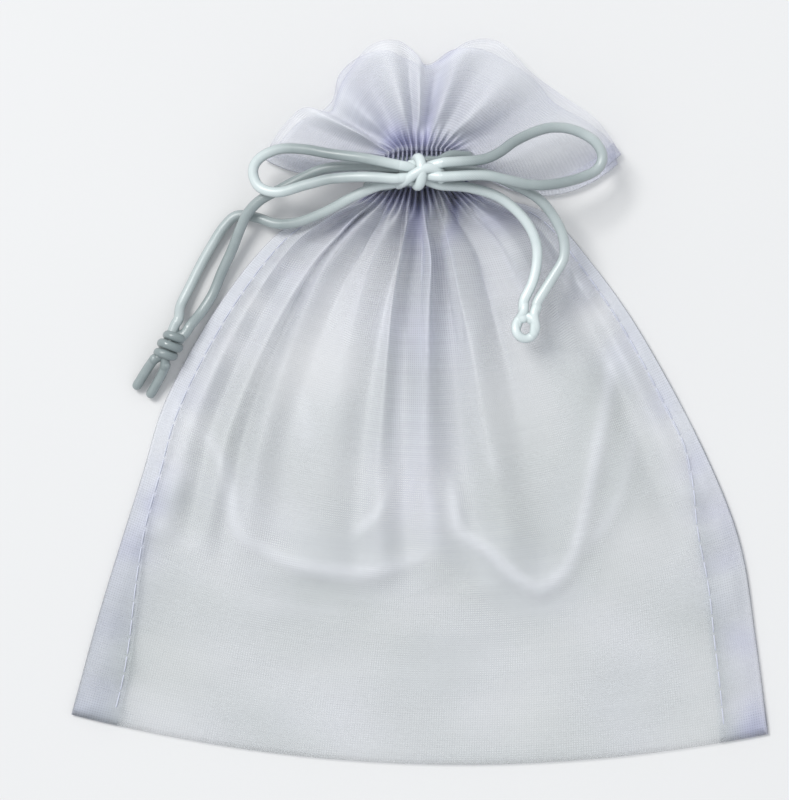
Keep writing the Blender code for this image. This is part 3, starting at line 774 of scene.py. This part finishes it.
def tube_parts(line, radius, sides):
    """Points, faces, places and undersides of a round tube along a line, with rounded ends; the
    undersides are a mask for painted shade.
    """
    line = np.asarray(line, float)
    ways = np.gradient(line, axis=0)
    ways /= np.linalg.norm(ways, axis=1)[:, None]
    start = [line[0] - ways[0] * radius * math.cos(a) for a in CAP_ANGLES]
    finish = [line[-1] + ways[-1] * radius * math.cos(a) for a in CAP_ANGLES[::-1]]
    centres = np.vstack([start, line, finish])
    ways = np.vstack([[ways[0]] * len(start), ways, [ways[-1]] * len(finish)])
    caps = [radius * math.sin(a) for a in CAP_ANGLES]
    radii = np.concatenate([caps, np.full(len(line), float(radius)), caps[::-1]])
    normal = np.cross(ways[0], (0.0, 0.0, 1.0))
    if np.linalg.norm(normal) < 0.05:
        normal = np.cross(ways[0], (0.0, 1.0, 0.0))
    rings, turns = [], np.arange(sides) / sides
    for centre, way, size in zip(centres, ways, radii):
        normal = normal - way * (normal @ way)
        normal /= np.linalg.norm(normal)
        other = np.cross(way, normal)
        angle = 2 * math.pi * turns[:, None]
        rings.append(centre + size * (np.cos(angle) * normal + np.sin(angle) * other))
    points = np.array(rings)
    steps = np.linalg.norm(np.diff(centres, axis=0), axis=1)
    along = np.concatenate([[0.0], np.cumsum(steps)])
    place = np.stack(np.broadcast_arrays(along[:, None], turns[None, :], 0.0), axis=-1)
    outward = (points - centres[:, None]) / np.maximum(radii[:, None, None], 1e-6)
    under = ease(-outward[..., 2], -0.72, 0.25)
    index = np.arange(len(centres) * sides).reshape(len(centres), sides)
    faces = np.stack([
        index[:-1], np.roll(index[:-1], -1, axis=1), np.roll(index[1:], -1, axis=1), index[1:],
    ], axis=-1).reshape(-1, 4).tolist()
    faces += [index[0, ::-1].tolist(), index[-1].tolist()]
    return points.reshape(-1, 3), faces, place.reshape(-1, 3), under.ravel()


def tubes(name, lines, radius, sides, material, body_name, painted_shade=(0.0,)):
    """One object made of tubes along these lines.

    The last argument is how grey their satin is painted, as shade in place of its highlights, at
    places spread evenly along each line.
    """
    points, faces, places, unders, painted_shades = [], [], [], [], []
    count = 0
    for line in lines:
        p, f, place, under = tube_parts(line, radius, sides)
        share = place[:, 0] / place[-1, 0]
        painted_shades.append(np.interp(share, np.linspace(0.0, 1.0, len(painted_shade)), painted_shade))
        faces += [[i + count for i in face] for face in f]
        count += len(p)
        points.append(p)
        places.append(place)
        unders.append(under)
    made = bpy.data.meshes.new(name)
    made.from_pydata((np.vstack(points) * MM).tolist(), [], faces)
    layer = made.attributes.new("cord", "FLOAT_VECTOR", "POINT")
    layer.data.foreach_set("vector", np.vstack(places).astype(np.float32).ravel())
    layer = made.attributes.new("under", "FLOAT", "POINT")
    layer.data.foreach_set("value", np.concatenate(unders).astype(np.float32))
    layer = made.attributes.new("painted_shade", "FLOAT", "POINT")
    layer.data.foreach_set("value", np.concatenate(painted_shades).astype(np.float32))
    made.shade_smooth()
    made.materials.append(material)
    obj = bpy.data.objects.new(name, made)
    bpy.context.scene.collection.objects.link(obj)
    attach(obj, body_name)
    return obj


LOOP_LEFT = (
    (-3.0, 33.5, 11.35), (-3.5, 33.6, 11.35), (-8.0, 34.5, 11.2), (-12.8, 35.2, 10.2),
    (-16.5, 35.9, 8.8), (-20.0, 36.0, 7.3), (-22.8, 34.8, 6.2), (-23.8, 32.9, 5.8),
    (-22.9, 30.7, 6.0), (-20.2, 29.9, 6.8), (-16.2, 30.9, 8.1), (-12.5, 31.7, 9.5),
    (-8.0, 31.9, 10.9), (-3.5, 31.6, 11.35), (-3.0, 31.65, 11.35),
)
LOOP_RIGHT = (
    (3.0, 33.8, 11.35), (3.5, 33.9, 11.35), (8.6, 34.3, 11.2), (11.1, 35.3, 10.8),
    (13.3, 36.9, 10.1), (16.1, 38.3, 9.2), (18.8, 39.0, 8.4), (21.8, 38.7, 7.6),
    (24.7, 37.2, 6.9), (25.9, 35.1, 6.6), (25.2, 33.2, 6.8), (23.0, 32.0, 7.7),
    (20.3, 31.2, 8.7), (17.5, 30.8, 9.4), (15.0, 30.9, 10.0), (12.2, 31.5, 10.7),
    (8.9, 32.1, 11.2), (3.5, 31.9, 11.35), (3.0, 31.9, 11.35),
)
TAIL_LEFT_INNER = (
    (-0.6, 32.9, 9.7), (-3.35, 33.3, 9.3), (-8.3, 33.6, 8.1), (-13.3, 33.3, 6.8),
    (-16.8, 32.0, 5.8), (-20.2, 30.3, 4.9), (-22.8, 28.9, 4.2), (-24.6, 27.1, 3.55),
    (-25.7, 24.9, 2.8), (-26.9, 21.9, 2.1), (-28.4, 18.7, 1.5), (-29.7, 15.6, 1.1),
    (-31.4, 12.9, 1.4),
)
TAIL_LEFT_OUTER = (
    (-0.5, 32.0, 9.7), (-3.1, 31.2, 9.3), (-6.0, 30.7, 8.7), (-9.6, 29.2, 7.4),
    (-13.5, 27.2, 5.6), (-17.3, 25.8, 3.9), (-20.6, 25.6, 2.5), (-23.4, 26.5, 1.7),
    (-26.2, 26.8, 1.4), (-28.1, 25.2, 1.2), (-29.8, 22.6, 1.05), (-31.4, 19.8, 0.95),
    (-33.0, 16.6, 1.0), (-34.3, 13.9, 1.4),
)
TAIL_RIGHT_FRONT = (
    (-1.0, 32.2, 10.2), (0.8, 31.5, 9.7), (2.9, 30.8, 9.3), (6.7, 30.5, 8.7),
    (10.6, 29.4, 7.9), (13.3, 27.6, 7.3), (15.4, 25.2, 6.8), (16.5, 22.6, 6.5),
    (16.6, 20.0, 6.4), (16.0, 17.2, 6.5),
)
TAIL_RIGHT_BACK = (
    (-1.0, 32.8, 10.2), (1.0, 32.9, 9.7), (3.4, 32.9, 9.3), (8.5, 32.6, 8.9),
    (12.9, 31.1, 8.1), (16.6, 29.1, 7.3), (18.9, 26.5, 6.8), (20.3, 23.6, 6.5),
    (20.4, 20.6, 6.4), (18.9, 17.9, 6.5),
)
END_KNOT_LEFT = (np.array((-35.8, 8.1, 2.4)), np.array((-0.52, -0.854, 0.0)))
END_KNOT_RIGHT = (np.array((15.0, 10.7, 6.7)), np.array((-0.2, -0.98, 0.0)))
CORD_SPREAD = 0.95
KNOT = np.array((0.0, 32.6, 10.4))
END_KNOT_RADIUS = 0.66  # the cord is pulled a little thinner in the end knots and the tips
TIP_RADIUS = 0.70


def across_of(way):
    """The level direction to the left of way."""
    return np.array((-way[1], way[0], 0.0))


def add_cord(name, points, node, body_name, material, painted_shade):
    """A free cord along these points that stands for a CAD cord."""
    line = curve(points, CORD_STEP)
    cord = tubes(name, [line], CORD_RADIUS, 20, material, body_name, painted_shade)
    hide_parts(node)


def barrel_knot(centre, way, turns, reach, spread):
    """A cord wound round two cords: a helix about the line that they run along."""
    way = way / np.linalg.norm(way)
    across = across_of(way)
    up = np.array((0.0, 0.0, 1.0))
    t = np.linspace(0.0, 1.0, int(turns * 28))
    angle = 2 * math.pi * turns * t + 0.6
    wide, high = spread
    waist = 1.0 - 0.22 * (2 * t - 1) ** 2
    line = (centre + np.outer((2 * t - 1) * reach, way)
            + np.outer(np.cos(angle) * wide * waist, across)
            + np.outer(np.sin(angle) * high * waist, up))
    return line


def add_end_knots(cord):
    """The overhand knots that join each pair of tails, and the short tips beyond the left one."""
    centre, way = END_KNOT_LEFT
    across = across_of(way / np.linalg.norm(way))
    through = [
        curve([centre - way * 3.0 + across * side * CORD_SPREAD,
               centre - across * side * 0.35 + np.array((0, 0, 0.15 * side)),
               centre + way * 3.0 + across * side * CORD_SPREAD], STRAND_STEP)
        for side in (-1, 1)
    ]
    wound = barrel_knot(centre, way, 2.4, 1.7, (1.25, 1.15))
    # The left end knot's satin fully greyed with painted shade.
    left = tubes("end_knot_left_wraps", [*through, wound], END_KNOT_RADIUS, 16, cord,
                 "left_tail", (1.0,))
    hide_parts("end_knot_left")
    tips = []
    for label, side in (("a", -1), ("b", 1)):
        start = centre + way * 2.7 + across * CORD_SPREAD * side
        drop = np.array((0.0, 0.0, CORD_RADIUS + 0.15 - centre[2]))
        fan = across * side
        line = curve([start, start + way * 1.9 + drop * 0.6 + fan * 0.15,
                      start + way * 4.6 + drop + fan * 0.2], STRAND_STEP)
        # The tips' satin almost fully greyed with painted shade.
        tip = tubes(f"cord_tip_left_{label}_end", [line], TIP_RADIUS, 18, cord,
                    "left_tail", (0.9,))
        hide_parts(f"cord_tip_left_{label}")
        tips.append(tip)
    centre, way = END_KNOT_RIGHT
    across = across_of(way / np.linalg.norm(way))
    angle = np.linspace(0.0, 2 * math.pi, 70)
    ring = (centre + np.outer(np.cos(angle) * 1.42, across)
            + np.outer(np.sin(angle) * 1.62, -way)
            + np.outer(0.30 * np.sin(2 * angle), (0, 0, 1)))
    entries = [
        curve([centre - way * 3.4 + across * side * 0.9,
               centre - way * 2.2 + across * side * 0.75 + np.array((0, 0, 0.35)),
               centre - way * 1.0 + across * side * 1.1 + np.array((0, 0, 0.25 * side)),
               centre + way * 0.6 + across * side * 1.3], STRAND_STEP)
        for side in (-1, 1)
    ]
    right = tubes("end_knot_right_ring", [ring, *entries], END_KNOT_RADIUS, 16, cord,
                  "right_tail")
    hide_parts("end_knot_right")
    return [left, *tips], [right]


def tail_points(points, knot, side):
    """A tail's route, run on into its end knot."""
    centre, way = knot
    across = across_of(way / np.linalg.norm(way))
    entry = centre - way * 3.0 + across * CORD_SPREAD * side
    return [*points, entry - way * 1.0, entry, centre - way * 1.2 + across * side * 0.6]


def add_cords(cord):
    """The bow's loops and tails, each with how much painted shade greys its satin from end to end.
    """
    left_pieces, right_pieces = add_end_knots(cord)
    add_cord("bow_loop_left_cord", LOOP_LEFT, "bow_loop_left", "left_loop", cord,
             (0.15, 0.7, 1.0, 0.85, 0.25, 0.1, 0.45, 0.7, 0.4, 0.15))
    add_cord("bow_loop_right_cord", LOOP_RIGHT, "bow_loop_right", "right_loop", cord,
             (0.15, 0.9, 0.9, 0.7, 0.4, 0.65, 0.9, 0.7, 0.5, 0.15))
    add_cord("tail_left_outer_cord", tail_points(TAIL_LEFT_OUTER, END_KNOT_LEFT, -1),
             "tail_left_outer", "left_tail", cord,
             (0.1, 0.25, 0.55, 0.8, 0.75, 0.55, 0.5, 0.6))
    add_cord("tail_left_inner_cord", tail_points(TAIL_LEFT_INNER, END_KNOT_LEFT, 1),
             "tail_left_inner", "left_tail", cord,
             (0.2, 0.6, 0.9, 0.9, 0.8, 0.9, 0.8, 0.8))
    add_cord("tail_right_front_cord", tail_points(TAIL_RIGHT_FRONT, END_KNOT_RIGHT, -1),
             "tail_right_front", "right_tail", cord, (0.2, 0.35, 0.1, 0.0, 0.0))
    add_cord("tail_right_back_cord", tail_points(TAIL_RIGHT_BACK, END_KNOT_RIGHT, 1),
             "tail_right_back", "right_tail", cord, (0.5, 0.7, 0.65, 0.35, 0.1))


def add_bow_knot(cord):
    """The bow's knot: a strand over the front, a wrap round the middle, and the core they hold."""
    over = curve([
        (-3.0, 30.9, 9.6), (-2.2, 31.3, 10.9), (-0.9, 32.2, 11.55), (0.6, 33.0, 11.65),
        (2.0, 33.0, 11.2), (2.9, 32.2, 10.2), (2.7, 31.2, 9.3),
    ], STRAND_STEP)
    turn = np.linspace(0.0, 2 * math.pi, 60)
    wrap = KNOT + np.stack([
        -0.35 + 0.55 * np.sin(turn), 1.95 * np.cos(turn), 1.22 * np.sin(turn),
    ], axis=1)
    core = curve([
        (-2.3, 32.9, 10.2), (-1.0, 33.6, 10.5), (0.8, 32.2, 10.1), (2.2, 31.9, 10.3),
    ], STRAND_STEP)
    low = curve([
        (-2.3, 31.8, 9.7), (-0.8, 31.4, 9.9), (0.9, 33.3, 9.7), (2.3, 33.4, 9.8),
    ], STRAND_STEP)
    stubs = [
        curve([(side * 3.0, outer, 11.35), (side * 2.2, (2 * outer + inner) / 3, 11.2),
               (side * 1.0, inner, 10.7)], STRAND_STEP)
        for side, outer, inner in ((-1, 33.5, 33.1), (-1, 31.65, 31.9), (1, 33.8, 33.3),
                                   (1, 31.9, 32.1))
    ]
    knot = tubes("bow_knot_strands", [over, wrap, core, low, *stubs], CORD_RADIUS, 18, cord,
                 "pouch", (0.1,))
    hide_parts("bow_knot")


def on_ellipse(half, degrees, y):
    """A point on an ellipse round the neck: degrees run from the right, up and over."""
    angle = math.radians(degrees)
    return (half[0] * math.cos(angle), y, MIDDLE + half[1] * math.sin(angle))


STRING_OUTSIDE = (7.65, 4.55)  # half the width and height of a drawstring's way outside the neck
STRING_INSIDE = (4.75, 1.65)  # and inside the channel
INSIDE_DEGREES = range(215, 531, 39)
STRING_CLIMB = 1.6  # along the channel, from going in to coming out
INTO_CHANNEL = {"left": 30.9, "right": 33.5}
TO_KNOT = 0.45  # how far the strands outside have turned towards the knot's place


def add_drawstrings(cord):
    """Each drawstring, from the knot in at its exit, once round the channel, and back."""
    for name, first in INTO_CHANNEL.items():
        last = first + STRING_CLIMB
        middle = KNOT[1] * TO_KNOT
        low = middle + first * 0.55 - 0.3
        high = middle + last * 0.55 + 0.3
        points = [
            on_ellipse(STRING_OUTSIDE, 100, low), on_ellipse(STRING_OUTSIDE, 112, low),
            on_ellipse(STRING_OUTSIDE, 128, first), on_ellipse(STRING_OUTSIDE, 146, first),
            on_ellipse(STRING_OUTSIDE, 163, first), (-7.2, first, 3.2), (-6.0, first, 2.7),
        ]
        points += [on_ellipse(STRING_INSIDE, degrees, first + STRING_CLIMB * i / 8)
                   for i, degrees in enumerate(INSIDE_DEGREES)]
        points += [
            (-5.2, last, 4.3), (-6.4, last, 4.5), (-6.9, last, 5.3),
            on_ellipse(STRING_OUTSIDE, 138, last), on_ellipse(STRING_OUTSIDE, 124, last),
            on_ellipse(STRING_OUTSIDE, 110, high), on_ellipse(STRING_OUTSIDE, 98, high),
        ]
        if name == "right":
            points = [(-x, y, z) for x, y, z in points]
        # The drawstrings' satin almost fully greyed with painted shade.
        string = tubes(f"{name}_drawstring_cord", [curve(points, CORD_STEP)], CORD_RADIUS, 18, cord,
                       "pouch", (0.9,))
        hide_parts(f"{name}_drawstring")


SEAM_STITCH = (2.1, 0.55)  # a stitch's length and the gap after it
CHANNEL_STITCH = (1.3, 0.4)
SEAM_THREAD_RADIUS = 0.10
CHANNEL_THREAD_RADIUS = 0.11


def stitch_lines(line, stitch, gap):
    """Short lines along a line, one for each stitch, that dip into the cloth at both ends."""
    long = length_of(line)
    fine = resample(line, int(long / 0.1) + 2)
    step = long / (len(fine) - 1)
    found = []
    start = 0.0
    while start + stitch < long:
        first, last = int(start / step), int((start + stitch) / step)
        piece = resample(fine[first : last + 1], 7).copy()
        piece[[0, -1], 2] -= 0.16
        piece[[1, -2], 2] -= 0.03
        found.append(piece)
        start += stitch + gap
    return found


def add_stitching(material):
    """The stitches along both side seams and both edges of the channel."""
    for side, name in enumerate(("left", "right")):
        found = []
        for v in np.linspace(0.03, 0.905, 300):
            inward = 0.062 * rolled(body, v)[side]
            found.append(body(1, np.array([inward if side == 0 else 1.0 - inward]), v))
        line = np.array([(x[0], y[0], z[0] + 0.12) for x, y, z, *_ in found])
        seam = tubes(f"{name}_seam_stitches", stitch_lines(line, *SEAM_STITCH),
                     SEAM_THREAD_RADIUS, 8, material, "pouch", (0.1,))
        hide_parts(f"{name}_seam_stitching")
    for name, c in (("lower", 0.03), ("upper", 0.93)):
        x, y, z, *_ = channel(1, np.linspace(0.06, 0.94, 900), c)
        line = np.stack([x, y, z + 0.10], axis=1)
        # The channel's stitches greyed with painted shade.
        row = tubes(f"channel_{name}_stitches", stitch_lines(line, *CHANNEL_STITCH),
                    CHANNEL_THREAD_RADIUS, 8, material, "pouch", (0.8,))
        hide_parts(f"channel_stitching_{name}")


def add_floor(material):
    """The surface that the pouch lies on."""
    half = 1500.0
    floor = make_mesh(
        "floor", [(-half, -half, -0.05), (half, -half, -0.05), (half, half, -0.05),
                  (-half, half, -0.05)], [(0, 1, 2, 3)], material,
    )


def main():
    add_camera()
    add_light()
    cord = satin_cord()
    add_cords(cord)
    add_bow_knot(cord)
    add_drawstrings(cord)
    add_cloth(organza())
    add_stitching(thread())
    add_floor(paper())


main()
